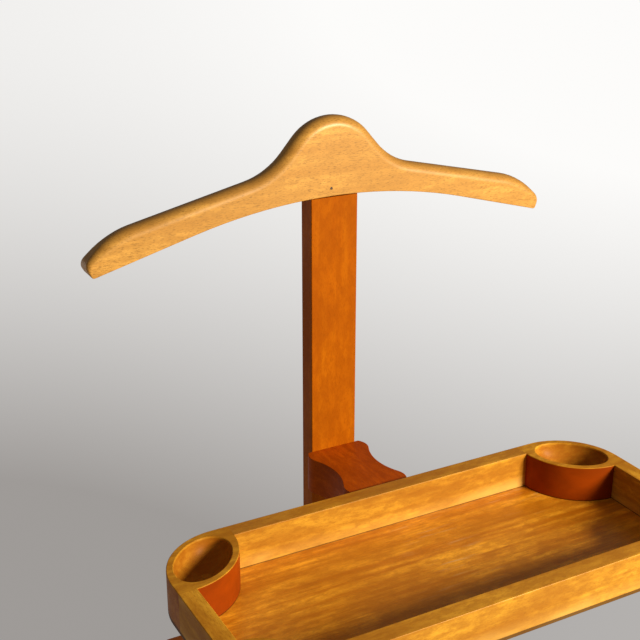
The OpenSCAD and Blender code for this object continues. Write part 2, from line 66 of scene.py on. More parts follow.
camera = bpy.data.objects.new("camera", bpy.data.cameras.new("camera"))
camera.data.lens = LENS
camera.data.sensor_width = 36
camera.location = (-0.4798, -0.7701, 1.2730)
camera.rotation_euler = (radians(90 - LOOK_DOWN), 0, -radians(LOOK_RIGHT))
bpy.context.scene.collection.objects.link(camera)
bpy.context.scene.camera = camera
print("camera:", LENS, "mm,", LOOK_DOWN, "degrees down")

# %% [markdown]
# ## Light
# One softbox at the front right does most of the work. It stands little higher than the hanger, so
# it shades the hanger's upper edge and the floor behind the tray's front rail, and it is near
# enough for the light to fall off towards the left. Its width softens the edge of each shade. A
# weak sky keeps the shaded sides brown instead of black.

# %% Set up the lights
KEY_PLACE = Vector((0.82, -1.43, 1.40))
KEY_AIM = Vector((0, 0, 0.9))
KEY_SIZE = 0.42
LIGHT_ON_STAND = 6.5             # watts per square metre where the softbox is aimed
key_power = LIGHT_ON_STAND * pi * (KEY_AIM - KEY_PLACE).length_squared
key = bpy.data.objects.new("key", bpy.data.lights.new("key", "AREA"))
key.data.energy = key_power
key.data.color = (1.0, 0.97, 0.93)
key.data.shape = "SQUARE"
key.data.size = KEY_SIZE
key.location = KEY_PLACE
key.rotation_euler = (KEY_AIM - KEY_PLACE).to_track_quat("-Z", "Y").to_euler()
bpy.context.scene.collection.objects.link(key)
print("key light:", round(key_power, 1), "W")

world = bpy.data.worlds.new("studio")
world.use_nodes = True
world.node_tree.nodes["Background"].inputs["Color"].default_value = (1.0, 0.96, 0.90, 1)
world.node_tree.nodes["Background"].inputs["Strength"].default_value = 0.20
bpy.context.scene.world = world
bpy.context.scene.view_settings.view_transform = "Standard"

# %% [markdown]
# ## The floor
# The floor is plain pale paper that runs far back, so that no horizon crosses the view.

# %% Make the floor
FLOOR_SIZE = 60

floor_mesh = bpy.data.meshes.new("studio_floor")
bm = bmesh.new()
bmesh.ops.create_grid(bm, x_segments=1, y_segments=1, size=FLOOR_SIZE / 2)
bm.to_mesh(floor_mesh)
bm.free()
studio_floor = bpy.data.objects.new("studio_floor", floor_mesh)
bpy.context.scene.collection.objects.link(studio_floor)
print("floor:", FLOOR_SIZE, "m square")

# %% [markdown]
# ## Node helpers
# A finish is a tree of shader nodes. Two short helpers keep the trees readable: one adds a node
# and fills its sockets, from numbers or from other nodes' outputs, and one makes a group with
# named inputs and outputs, so that the same grain can be used in every wood.

# %% Define the node helpers
def add_node(tree, kind, inputs=(), **settings):
    """A node of that kind. inputs maps a socket's name or number to a value or an output."""
    node = tree.nodes.new(kind)
    for name, value in settings.items():
        setattr(node, name, value)
    for socket, value in dict(inputs).items():
        if isinstance(value, bpy.types.NodeSocket):
            tree.links.new(value, node.inputs[socket])
        else:
            node.inputs[socket].default_value = value
    return node


def new_group(name, inputs, outputs):
    """An empty shader group. inputs maps names to default values, and outputs is a list of names."""
    group = bpy.data.node_groups.new(name, "ShaderNodeTree")
    for label, value in inputs.items():
        kind = "NodeSocketFloat" if isinstance(value, (int, float)) else "NodeSocketVector"
        socket = group.interface.new_socket(label, in_out="INPUT", socket_type=kind)
        socket.default_value = value
    for label in outputs:
        group.interface.new_socket(label, in_out="OUTPUT", socket_type="NodeSocketFloat")
    return group, group.nodes.new("NodeGroupInput"), group.nodes.new("NodeGroupOutput")


def stretched_noise(tree, vector, per_metre, detail, roughness=0.55):
    """Noise with its own number of features per metre along each axis."""
    scaled = add_node(tree, "ShaderNodeVectorMath", {0: vector, 1: per_metre}, operation="MULTIPLY")
    noise = add_node(tree, "ShaderNodeTexNoise", {
        "Vector": scaled.outputs[0], "Scale": 1.0, "Detail": detail, "Roughness": roughness})
    return noise.outputs["Fac"]


def remap(tree, value, low, high, to_low=0.0, to_high=1.0):
    """Moves a value from one range to another, with soft ends."""
    node = add_node(tree, "ShaderNodeMapRange", {
        "Value": value, "From Min": low, "From Max": high, "To Min": to_low, "To Max": to_high})
    node.interpolation_type = "SMOOTHSTEP"
    return node.outputs[0]


def maths(tree, operation, a, b=0.0):
    return add_node(tree, "ShaderNodeMath", {0: a, 1: b}, operation=operation).outputs[0]


def mix_colour(tree, share, first, second):
    """The first colour, turned into the second by that share."""
    node = add_node(tree, "ShaderNodeMix", data_type="RGBA")
    for socket, value in (("Factor_Float", share), ("A_Color", first), ("B_Color", second)):
        slot = next(s for s in node.inputs if s.identifier == socket)
        if isinstance(value, bpy.types.NodeSocket):
            tree.links.new(value, slot)
        else:
            slot.default_value = value
    return next(s for s in node.outputs if s.identifier == "Result_Color")


# %% [markdown]
# ## The backdrop paper
# The paper's tone is painted light: it is dark close to the camera and climbs to nearly white far off, as
# under a studio's back light. Its tone follows how far a point is from the camera's foot, measured along
# the view: one over that distance, eased between a near and a far value. A second term paints more light on
# the right side.
# The paper glows with that tone, so that no lamp for the stand disturbs it, and it lights the
# stand a little from below and behind as real paper does.

# %% Tone the paper
# Painted light: the glow runs from a dark tone near the camera to near white far off.
NEAR_GLOW = (0.345, 0.326, 0.312, 1)
FAR_GLOW = (0.98, 0.972, 0.957, 1)
NEAR_EDGE, FAR_EDGE = 0.56, 0.07       # one over the distance where the tone stops changing
SIDE_REACH, SIDE_LIGHT = 0.35, 0.17
view_turn = radians(LOOK_RIGHT)
behind = camera.location.x * sin(view_turn) + camera.location.y * cos(view_turn)
aside = camera.location.x * cos(view_turn) - camera.location.y * sin(view_turn)

paper = bpy.data.materials.new("backdrop_paper")
paper.use_nodes = True
tree = paper.node_tree
place = add_node(tree, "ShaderNodeTexCoord").outputs["Object"]
ahead = add_node(tree, "ShaderNodeVectorMath", {
    0: place, 1: (sin(view_turn), cos(view_turn), 0)}, operation="DOT_PRODUCT").outputs["Value"]
across = add_node(tree, "ShaderNodeVectorMath", {
    0: place, 1: (cos(view_turn), -sin(view_turn), 0)}, operation="DOT_PRODUCT").outputs["Value"]
near = maths(tree, "DIVIDE", 1.0, maths(tree, "MAXIMUM", maths(tree, "SUBTRACT", ahead, behind), 0.4))
to_right = maths(tree, "MULTIPLY", maths(tree, "SUBTRACT", across, aside), near)
paper_light = remap(tree, near, NEAR_EDGE, FAR_EDGE)
side_light = remap(tree, to_right, -SIDE_REACH, SIDE_REACH, -SIDE_LIGHT, SIDE_LIGHT)
paper_light = maths(tree, "ADD", paper_light, side_light)
paper_light = maths(tree, "MINIMUM", maths(tree, "MAXIMUM", paper_light, 0.0), 1.0)
tone = mix_colour(tree, paper_light, NEAR_GLOW, FAR_GLOW)
shader = tree.nodes["Principled BSDF"]
tree.links.new(tone, shader.inputs["Emission Color"])
shader.inputs["Emission Strength"].default_value = 1.0
shader.inputs["Base Color"].default_value = (0.0, 0.0, 0.0, 1)
shader.inputs["Roughness"].default_value = 1.0
shader.inputs["Specular IOR Level"].default_value = 0.0
floor_mesh.materials.append(paper)
print("paper:", len(tree.nodes), "nodes")

# %% [markdown]
# ## The grain of beech
# Beech is pale and close-grained. What the eye reads is a soft streak along the board, faint
# growth rings that swing across it, blotches and a finer mottle where the lacquer sank in unevenly,
# and thousands of short dark flecks a few millimetres long. All are noise stretched along the
# grain. They are one group, whose X axis runs along the grain, and each board turns it to suit.

# %% Build the grain group
STREAKS_PER_METRE = (5.5, 105, 105)
FLECKS_PER_METRE = (290, 1800, 1800)
BLOTCHES_PER_METRE = (13, 26, 26)
PORES_PER_METRE = (420, 3600, 3600)
MOTTLE_PER_METRE = (70, 170, 170)
RING_GAP = 5.2 * MM
PITH = (0, 0.051, -0.083)          # from the board to the middle of the trunk it was cut from

grain, given, result = new_group(
    "beech_grain", {"Vector": (0, 0, 0), "Sway": 0.006},
    ["Streaks", "Rings", "Blotches", "Mottle", "Flecks", "Relief"])
sway = add_node(grain, "ShaderNodeTexNoise", {
    "Vector": given.outputs["Vector"], "Scale": 7.0, "Detail": 2.0})
centred = add_node(grain, "ShaderNodeVectorMath", {
    0: sway.outputs["Color"], 1: (0.5, 0.5, 0.5)}, operation="SUBTRACT")
scaled = add_node(grain, "ShaderNodeVectorMath", {
    0: centred.outputs[0], "Scale": given.outputs["Sway"]}, operation="SCALE")
swayed = add_node(grain, "ShaderNodeVectorMath", {
    0: given.outputs["Vector"], 1: scaled.outputs[0]}, operation="ADD").outputs[0]

streaks = stretched_noise(grain, swayed, STREAKS_PER_METRE, 6.0, 0.62)
blotches = stretched_noise(grain, given.outputs["Vector"], BLOTCHES_PER_METRE, 3.0)
flecks = remap(grain, stretched_noise(grain, swayed, FLECKS_PER_METRE, 2.0), 0.52, 0.66)
pores = stretched_noise(grain, swayed, PORES_PER_METRE, 2.0)
mottle = stretched_noise(grain, swayed, MOTTLE_PER_METRE, 4.0, 0.65)

from_pith = add_node(grain, "ShaderNodeVectorMath", {0: swayed, 1: PITH}, operation="ADD")
across = add_node(grain, "ShaderNodeVectorMath", {
    0: from_pith.outputs[0], 1: (0.12, 1, 1)}, operation="MULTIPLY")
reach = add_node(grain, "ShaderNodeVectorMath", {0: across.outputs[0]}, operation="LENGTH")
rings = maths(grain, "SINE", maths(grain, "MULTIPLY", reach.outputs["Value"], 2 * pi / RING_GAP))

grain.links.new(streaks, result.inputs["Streaks"])
grain.links.new(remap(grain, rings, -1.0, 1.0), result.inputs["Rings"])
grain.links.new(blotches, result.inputs["Blotches"])
grain.links.new(mottle, result.inputs["Mottle"])
grain.links.new(flecks, result.inputs["Flecks"])
relief = maths(grain, "SUBTRACT", pores, maths(grain, "MULTIPLY", flecks, 0.35))
grain.links.new(relief, result.inputs["Relief"])
print("grain group:", len(grain.nodes), "nodes")

# %% [markdown]
# ## Wear and painted shade
# A tray is used every day, so keys and coins leave pale hairline scuffs along its floor. Where a wall meets
# the floor a dark line of painted shade is laid, and just above that the walls are rubbed pale. All three
# are masks from a second group: the scuffs are noise cut off high, and the other two fade with height above
# the floor panel.

# %% Build the wear and painted shade group
wear_and_shade, given, result = new_group(
    "tray_wear_and_shade", {"Vector": (0, 0, 0), "Floor Height": 0.0}, ["Scuffs", "Painted Shade", "Rubbed"])
scratch = remap(wear_and_shade, stretched_noise(wear_and_shade, given.outputs["Vector"], (28, 330, 330), 3.0), 0.56, 0.74)
patches = remap(wear_and_shade, stretched_noise(wear_and_shade, given.outputs["Vector"], (9, 17, 17), 2.0), 0.47, 0.66)
split = add_node(wear_and_shade, "ShaderNodeSeparateXYZ", {0: given.outputs["Vector"]})
above = maths(wear_and_shade, "SUBTRACT", split.outputs["Z"], given.outputs["Floor Height"])
wear_and_shade.links.new(maths(wear_and_shade, "MULTIPLY", scratch, patches), result.inputs["Scuffs"])
# The second mask is painted shade: dark along the foot of each wall, just above the floor panel.
wear_and_shade.links.new(remap(wear_and_shade, above, 0.2 * MM, 1.3 * MM, 1.0, 0.0), result.inputs["Painted Shade"])
band = remap(wear_and_shade, above, 2 * MM, 15 * MM, 1.0, 0.0)
rubbed = maths(wear_and_shade, "MULTIPLY", band, remap(wear_and_shade, patches, 0.0, 1.0, 0.35, 1.0))
wear_and_shade.links.new(rubbed, result.inputs["Rubbed"])
print("wear group:", len(wear_and_shade.nodes), "nodes")

# %% [markdown]
# ## Lacquered woods
# The stand is one kind of wood under one satin lacquer, but its boards came from different planks:
# the hanger and the rails are honey coloured, and the post and the bracket redder and deeper. One
# function makes each, from a light colour, a dark colour and the way the grain runs. The lacquer
# is the shader's own coat, set on its sockets because it is the same all over.

# %% Define the woods
ALONG = {
    "X": (0, 0, 0),
    "Y": (0, 0, pi / 2),
    "Z": (0, pi / 2, 0),
}


def make_wood(name, light, dark, along, shift=(0, 0, 0), streaks=0.75, rings=0.16, flecks=0.30,
              scuffs=0.0, floor_height=None, stain=None, painted_top_shade=0.0, roughness=0.46, shine=0.25):
    """A lacquered wood whose grain runs along that axis. The floor's height is given in metres: just above
    it a dark line of painted shade is laid along each wall, and above that a rubbed band.

    stain is a colour for the faces that the stain attribute marks: stain on a block's walls, and partly
    painted shade in a cup's hollow. The top-shade strength darkens, as painted shade, the faces that its
    own attribute marks.
    """
    wood = bpy.data.materials.new(name)
    wood.use_nodes = True
    tree = wood.node_tree
    shader = tree.nodes["Principled BSDF"]
    place = add_node(tree, "ShaderNodeTexCoord").outputs["Object"]
    turned = add_node(tree, "ShaderNodeMapping", {
        "Vector": place, "Location": shift, "Rotation": ALONG[along]}).outputs[0]
    figure = add_node(tree, "ShaderNodeGroup", node_tree=grain)
    tree.links.new(turned, figure.inputs["Vector"])

    tone = remap(tree, figure.outputs["Streaks"], 0.5 - 0.28 / streaks, 0.5 + 0.28 / streaks)
    colour = mix_colour(tree, tone, (*dark, 1), (*light, 1))
    ring = maths(tree, "MULTIPLY", figure.outputs["Rings"], rings)
    colour = mix_colour(tree, ring, colour, (*(0.72 * c for c in dark), 1))
    blotch = remap(tree, figure.outputs["Blotches"], 0.36, 0.64, 0.0, 0.62)
    colour = mix_colour(tree, blotch, colour, (*(0.8 * c for c in dark), 1))
    mottle = remap(tree, figure.outputs["Mottle"], 0.38, 0.62, 0.0, 0.55)
    colour = mix_colour(tree, mottle, colour, (*(0.78 * c for c in dark), 1))
    fleck = maths(tree, "MULTIPLY", figure.outputs["Flecks"], flecks)
    colour = mix_colour(tree, fleck, colour, (*(0.5 * c for c in dark), 1))
    if stain:
        # Stain on the blocks' walls, and partly painted shade in the cups' hollows.
        stain_and_shade = add_node(tree, "ShaderNodeAttribute", attribute_name="stain_and_cup_shade").outputs["Fac"]
        red = mix_colour(tree, tone, (*(0.7 * c for c in stain), 1), (*stain, 1))
        red = mix_colour(tree, blotch, red, (*(0.6 * c for c in stain), 1))
        colour = mix_colour(tree, stain_and_shade, colour, red)
    if scuffs or floor_height is not None:
        used = add_node(tree, "ShaderNodeGroup", node_tree=wear_and_shade)
        used.inputs["Floor Height"].default_value = -1.0 if floor_height is None else floor_height
        tree.links.new(place, used.inputs["Vector"])
        scuff = maths(tree, "MULTIPLY", used.outputs["Scuffs"], scuffs)
        colour = mix_colour(tree, scuff, colour, (0.58, 0.33, 0.13, 1))
        if floor_height is not None:
            rubbed = maths(tree, "MULTIPLY", used.outputs["Rubbed"], 0.0 if stain else 0.75)
            colour = mix_colour(tree, rubbed, colour, (0.68, 0.36, 0.07, 1))
            # Painted shade: a near-black line on each wall just above the floor panel.
            contact_shade = maths(tree, "MULTIPLY", used.outputs["Painted Shade"], 0.85)
            colour = mix_colour(tree, contact_shade, colour, (0.05, 0.014, 0.002, 1))
    # Painted shade on the hanger's upper edge, darkest where it faces up.
    if painted_top_shade:
        top_shade = add_node(tree, "ShaderNodeAttribute", attribute_name="painted_top_shade").outputs["Fac"]
        top_shade = maths(tree, "MULTIPLY", top_shade, painted_top_shade)
        colour = mix_colour(tree, top_shade, colour, (*(0.30 * c for c in dark), 1))
    tree.links.new(colour, shader.inputs["Base Color"])
    tree.links.new(remap(tree, figure.outputs["Blotches"], 0.3, 0.7, roughness - 0.06, roughness + 0.08),
                   shader.inputs["Roughness"])
    bump = add_node(tree, "ShaderNodeBump", {
        "Height": figure.outputs["Relief"], "Strength": 0.22, "Distance": 0.15 * MM})
    tree.links.new(bump.outputs[0], shader.inputs["Normal"])
    shader.inputs["Specular IOR Level"].default_value = shine
    shader.inputs["Specular Tint"].default_value = (1.0, 0.72, 0.38, 1)
    shader.inputs["Coat Weight"].default_value = 0.25 * shine
    shader.inputs["Coat Roughness"].default_value = 0.3
    return wood


# %% [markdown]
# ## The woods of this stand
# The hanger is the lightest, the tray's rails and blocks a warmer honey, and the post, the bracket
# and the base a deeper amber. Each wood is taken from another place in the noise, by its shift, so
# that no two show the same figure.

# %% Make the woods
floor_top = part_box("tray_floor")[1].z
HONEY = (0.67, 0.328, 0.056)
HONEY_DARK = (0.49, 0.210, 0.030)
TRAY = (0.78, 0.390, 0.028)
TRAY_DARK = (0.40, 0.130, 0.006)
AMBER = (0.46, 0.118, 0.002)
AMBER_DARK = (0.36, 0.072, 0.001)
RED_AMBER = (0.56, 0.100, 0.002)
RED_AMBER_DARK = (0.34, 0.048, 0.001)
SIDE_STAIN = (0.31, 0.042, 0.001)
PANEL = (0.95, 0.400, 0.020)
PANEL_DARK = (0.52, 0.150, 0.003)

hanger_wood = make_wood("hanger_wood", HONEY, HONEY_DARK, "X", streaks=1.1, flecks=0.75,
                        painted_top_shade=0.6, shine=0.5)
post_wood = make_wood("post_wood", AMBER, AMBER_DARK, "Z", (0.2, 0.11, 0.05), shine=0.04)
bracket_wood = make_wood("bracket_wood", RED_AMBER, RED_AMBER_DARK, "Y", (0.4, 0.07, 0.31), shine=0.05)
rail_wood = make_wood("rail_wood", TRAY, TRAY_DARK, "X", (0.5, 0.3, 0.1), floor_height=floor_top)
side_rail_wood = make_wood("side_rail_wood", TRAY, TRAY_DARK, "Y", (0.7, 0.2, 0.4), floor_height=floor_top,
                           shine=0.08)
corner_wood = make_wood("corner_wood", TRAY, TRAY_DARK, "X", (0.9, 0.6, 0.2), streaks=0.6,
                        floor_height=floor_top, stain=SIDE_STAIN, shine=0.08)
panel_wood = make_wood("panel_wood", PANEL, PANEL_DARK, "X", (0.1, 0.8, 0.6), streaks=1.7, rings=0.14,
                       scuffs=0.6, roughness=0.38, shine=0.5)
base_wood = make_wood("base_wood", AMBER, AMBER_DARK, "X", (0.3, 0.4, 0.9))
runner_wood = make_wood("runner_wood", AMBER, AMBER_DARK, "Y", (0.6, 0.9, 0.3))
rod_wood = make_wood("rod_wood", TRAY, TRAY_DARK, "X", (0.8, 0.1, 0.7), rings=0.1)
print("woods:", sum(material.name.endswith("_wood") for material in bpy.data.materials))

# %% [markdown]
# ## Screws, pin, dowels and glides
# The fixings keep their own solids from the frame, and only take a better finish: brass that has
# dulled unevenly, a dark pin, raw wood for the dowels and a dense felt for the glides. The wooden
# pieces get no bores for them, so they lie buried in the wood. What shows is the heads of the
# screws and the pin, each in a hole of its own, and the felt under the runners.

# %% Finish the fixings
def make_finish(name, colour, second, per_metre, roughness, metallic=0.0, relief=0.1 * MM):
    finish = bpy.data.materials.new(name)
    finish.use_nodes = True
    tree = finish.node_tree
    shader = tree.nodes["Principled BSDF"]
    place = add_node(tree, "ShaderNodeTexCoord").outputs["Object"]
    noise = stretched_noise(tree, place, per_metre, 4.0)
    tree.links.new(mix_colour(tree, remap(tree, noise, 0.35, 0.65), (*colour, 1), (*second, 1)),
                   shader.inputs["Base Color"])
    uneven = remap(tree, noise, 0.3, 0.7, roughness - 0.08, roughness + 0.1)
    tree.links.new(uneven, shader.inputs["Roughness"])
    bump = add_node(tree, "ShaderNodeBump", {"Height": noise, "Strength": 0.4, "Distance": relief})
    tree.links.new(bump.outputs[0], shader.inputs["Normal"])
    shader.inputs["Metallic"].default_value = metallic
    return finish


screw_brass = make_finish("screw_brass", (0.72, 0.50, 0.20), (0.42, 0.27, 0.10), (400, 400, 400), 0.38, 1.0)
pin_steel = make_finish("pin_steel", (0.10, 0.07, 0.05), (0.05, 0.03, 0.02), (900, 900, 900), 0.5, 1.0)
raw_dowel = make_finish("raw_dowel", (0.66, 0.45, 0.24), (0.50, 0.31, 0.14), (60, 700, 700), 0.7)
glide_felt = make_finish("glide_felt", (0.10, 0.07, 0.05), (0.05, 0.035, 0.025), (1500, 1500, 1500), 0.95,
                         relief=0.4 * MM)

KEPT_SOLIDS = {
    "hanger_pin": pin_steel,
    "bracket_screws": screw_brass,
    "crosspiece_screws": screw_brass,
    "post_foot_screws": screw_brass,
    "tray_floor_screws": screw_brass,
    "tray_mount_dowels": raw_dowel,
    "tray_corner_dowels": raw_dowel,
    "trouser_arm_dowels": raw_dowel,
    "stretcher_dowels": raw_dowel,
    "floor_glides": glide_felt,
}
for node_name, finish in KEPT_SOLIDS.items():
    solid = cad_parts[node_name]
    solid.data.materials.clear()
    solid.data.materials.append(finish)
print("kept solids:", len(KEPT_SOLIDS))

# %% [markdown]
# ## Outlines
# Every wooden piece here starts flat: a box, or an outline with rounded corners. Each round corner
# is one vertex that is spun about the corner's centre, so that it is a true arc.

# %% Draw an outline
ARC_STEP = 5             # degrees between the points of an arc
SHORTEST_ARC = 3         # steps


def draw_outline(corners):
    """A flat closed outline in the XY plane, from corners given as (x, y, radius)."""
    bm = bmesh.new()
    points = [Vector((x, y, 0)) for x, y, _ in corners]
    first = last = None
    for i, (x, y, radius) in enumerate(corners):
        here = points[i]
        if radius == 0:
            start = end = bm.verts.new(here)
        else:
            back = (points[i - 1] - here).normalized()
            ahead = (points[(i + 1) % len(points)] - here).normalized()
            half = back.angle(ahead) / 2
            centre = here + (back + ahead).normalized() * radius / sin(half)
            turn = (pi - 2 * half) * (1 if back.cross(ahead).z < 0 else -1)
            start = bm.verts.new(here + back * radius / tan(half))
            steps = max(SHORTEST_ARC, ceil(degrees(abs(turn)) / ARC_STEP))
            spun = bmesh.ops.spin(bm, geom=[start], cent=centre, axis=(0, 0, 1), angle=turn, steps=steps)
            end = next(v for v in spun["geom_last"] if isinstance(v, bmesh.types.BMVert))
        if last is None:
            first = start
        else:
            bm.edges.new((last, start))
        last = end
    bm.edges.new((last, first))
    return bm


# %% [markdown]
# ## Boards
# An outline becomes a board when it is filled and extruded. Then its arrises are eased with a
# small bevel, since sharp ones would catch no light at all. Which edges are eased is chosen by a
# small test, because an edge in a joint stays sharp.

# %% Make and ease a board
EASE = 0.6 * MM          # how far the crispest arrises are sanded back
SHARP_EDGE = radians(40)
SAME_PLACE = 1e-6        # metres


def thicken(bm, thickness):
    """Fills an outline and extrudes it upwards by that thickness."""
    face = bmesh.ops.contextual_create(bm, geom=bm.edges[:])["faces"]
    grown = bmesh.ops.extrude_face_region(bm, geom=face, use_keep_orig=True)["geom"]
    raised = [v for v in grown if isinstance(v, bmesh.types.BMVert)]
    bmesh.ops.translate(bm, verts=raised, vec=(0, 0, thickness))
    bmesh.ops.recalc_face_normals(bm, faces=bm.faces[:])
    return bm


def make_box(low, high):
    bm = bmesh.new()
    bmesh.ops.create_cube(bm, size=1)
    bmesh.ops.scale(bm, vec=high - low, verts=bm.verts[:])
    bmesh.ops.translate(bm, vec=(low + high) / 2, verts=bm.verts[:])
    return bm


def ease_arrises(bm, width=EASE, segments=3, chosen=None):
    """Rounds the sharp edges, or those of them that chosen(edge) accepts."""
    sharp = [e for e in bm.edges if e.is_manifold and e.calc_face_angle() > SHARP_EDGE]
    picked = [e for e in sharp if chosen is None or chosen(e)]
    bmesh.ops.bevel(bm, geom=picked, offset=width, segments=segments, profile=0.5,
                    affect="EDGES", material=-1)
    return bm


def runs_along(axis):
    """A test for edges that lie along the X, Y or Z axis, given as 0, 1 or 2."""
    return lambda edge: abs((edge.verts[1].co - edge.verts[0].co).normalized()[axis]) > 0.99


def is_level(edge):
    return abs(edge.verts[0].co.z - edge.verts[1].co.z) < SAME_PLACE


# %% [markdown]
# ## From mesh to piece
# A bmesh becomes an object, holes are cut with an exact boolean, and at the end each piece is shaded and
# seated on the frame in place of its solid. A piece with open edges would be a mistake, so they are counted
# and printed.


def as_object(bm, name, material=None):
    mesh = bpy.data.meshes.new(name)
    bm.to_mesh(mesh)
    bm.free()
    if material:
        mesh.materials.append(material)
    made = bpy.data.objects.new(name, mesh)
    bpy.context.scene.collection.objects.link(made)
    return made


def settle(made):
    """Applies the modifiers, so that the mesh itself has the shape."""
    evaluated = made.evaluated_get(bpy.context.evaluated_depsgraph_get())
    shaped = bpy.data.meshes.new_from_object(evaluated)
    made.modifiers.clear()
    made.data = shaped
    return made


def cut_away(made, *cutters):
    """Cuts those shapes out of a piece, one by one."""
    for bm in cutters:
        tool = as_object(bm, "cutter")
        cutting = made.modifiers.new("cut", "BOOLEAN")
        cutting.operation = "DIFFERENCE"
        cutting.solver = "EXACT"
        cutting.object = tool
        settle(made)
        bpy.data.objects.remove(tool)
    return made


def finish_piece(made, node, sharp_above=35):
    """Shades a wooden piece, seats it on the frame in place of its solid, and reports it."""
    made.data.shade_smooth()
    made.data.set_sharp_from_angle(angle=radians(sharp_above))
    evened = made.modifiers.new("even_shading", "WEIGHTED_NORMAL")
    evened.keep_sharp = True
    settle(made)
    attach(made, "root")
    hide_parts(node)
    checked = bmesh.new()
    checked.from_mesh(made.data)
    open_edges = sum(not e.is_manifold for e in checked.edges)
    print(f"{made.name}: {len(checked.faces)} faces, {open_edges} open edges")
    checked.free()
    return made


PAST_FACE = 0.2 * MM     # how far a cutter stands out of the face that it cuts


def screw_hole(place, away, radius=4.7 * MM, depth=2.6 * MM):
    """A countersink whose wide mouth is at place and faces away."""
    bm = bmesh.new()
    bmesh.ops.create_cone(bm, cap_ends=True, segments=40, radius1=radius + PAST_FACE,
                          radius2=radius - depth, depth=depth + PAST_FACE)
    bmesh.ops.translate(bm, verts=bm.verts[:], vec=(0, 0, depth / 2 - PAST_FACE / 2))
    turn = Vector(away).to_track_quat("-Z", "Y").to_matrix()
    bmesh.ops.rotate(bm, cent=(0, 0, 0), matrix=turn, verts=bm.verts[:])
    bmesh.ops.translate(bm, verts=bm.verts[:], vec=place)
    return bm


STAND_UP = Matrix.Rotation(pi / 2, 4, "X")                      # (x, y, z) to (x, -z, y)
ON_EDGE = Matrix(((0, 0, 1, 0), (1, 0, 0, 0), (0, 1, 0, 0), (0, 0, 0, 1)))   # (x, y, z) to (z, x, y)

# %% [markdown]
# ## The hanger's outline
# The hanger is sawn from one board. Its crown, shoulders and arms are one flowing outline, with a
# shallow arch below. The crown is one round corner, each side has four more with radii of their
# own, and the left side mirrors the right. The arch is points on one large circle.

# %% Draw the hanger
hanger_low, hanger_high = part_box("hanger_board")
CROWN_H = 69 * MM
CROWN_R = 47 * MM
CROWN_FLANK = radians(49)
SHOULDER_Z = 24.5 * MM
SHOULDER_R = 65 * MM
ARM_TOP_FALL = radians(12.7)
ARM_FALL = radians(15)
ARCH_R = 513 * MM
ARCH_STEPS = 20
TURN_R = 70 * MM                 # where an arm's top starts to turn down to its tip
TIP_R, TIP_OUT, TIP_DROP = 8 * MM, 2.15 * MM, 22.5 * MM
UNDER_R = 3 * MM

crown_corner_z = CROWN_H + CROWN_R * (1 / cos(CROWN_FLANK) - 1)
shoulder_x = (crown_corner_z - SHOULDER_Z) / tan(CROWN_FLANK)
tip_x = 225 * MM
turn_x = tip_x - 20 * MM
turn_z = SHOULDER_Z - (turn_x - shoulder_x) * tan(ARM_TOP_FALL)
arch_end = (ARCH_R * sin(ARM_FALL), ARCH_R * (cos(ARM_FALL) - 1))
under_x = tip_x - 4 * MM
under_z = arch_end[1] - (under_x - arch_end[0]) * tan(ARM_FALL)
hanger_z = hanger_high.z - CROWN_H

right_side = [
    (shoulder_x, SHOULDER_Z, SHOULDER_R),
    (turn_x, turn_z, TURN_R),
    (tip_x + TIP_OUT, turn_z - TIP_DROP, TIP_R),
    (under_x, under_z, UNDER_R),
]
arch = [
    (ARCH_R * sin(a), ARCH_R * (cos(a) - 1), 0)
    for a in (ARM_FALL * (1 - 2 * i / ARCH_STEPS) for i in range(ARCH_STEPS + 1))
]
left_side = [(-x, z, r) for x, z, r in reversed(right_side)]
whole = [(0, crown_corner_z, CROWN_R)] + right_side + arch + left_side
print("hanger outline:", len(whole), "corners")

# %% [markdown]
# ## The hanger's round-over
# The upper arris is rounded over heavily on both faces, so that a jacket's shoulders aren't
# marked, while the lower one is left crisp. A bevel has one width, and this one fades round each
# tip. So each ring of the round-over is the outline again, moved in by a width of its own at every
# point. Half the thickness is made, and then mirrored.

# %% Round a board over
ROUND_OVER = 9 * MM
ROUND_STEPS = 8
TIP_TAPER = 26 * MM              # height above the lower edge at which the round-over is full
LOWER_EDGE = 1.5 * MM            # what lies nearer the lower edge than this stays crisp


def round_over_width(point):
    """How far the round-over reaches in from that point of the outline."""
    x, z = abs(point.x), point.y
    on_arch = min(x, arch_end[0])
    lower = ARCH_R * (cos(asin(on_arch / ARCH_R)) - 1) - max(0.0, x - arch_end[0]) * tan(ARM_FALL)
    share = min(1.0, (z - lower) / TIP_TAPER) if z - lower > LOWER_EDGE else 0.0
    return max(EASE, ROUND_OVER * share)


def walk_round(bm):
    """The vertices of a closed outline, in order and counter-clockwise."""
    loop, edge = [bm.verts[0]], bm.verts[0].link_edges[0]
    while (vert := edge.other_vert(loop[-1])) is not loop[0]:
        loop.append(vert)
        edge = next(e for e in vert.link_edges if e is not edge)
    area = sum(a.co.cross(b.co).z for a, b in zip(loop, loop[1:] + loop[:1]))
    return loop if area > 0 else loop[::-1]


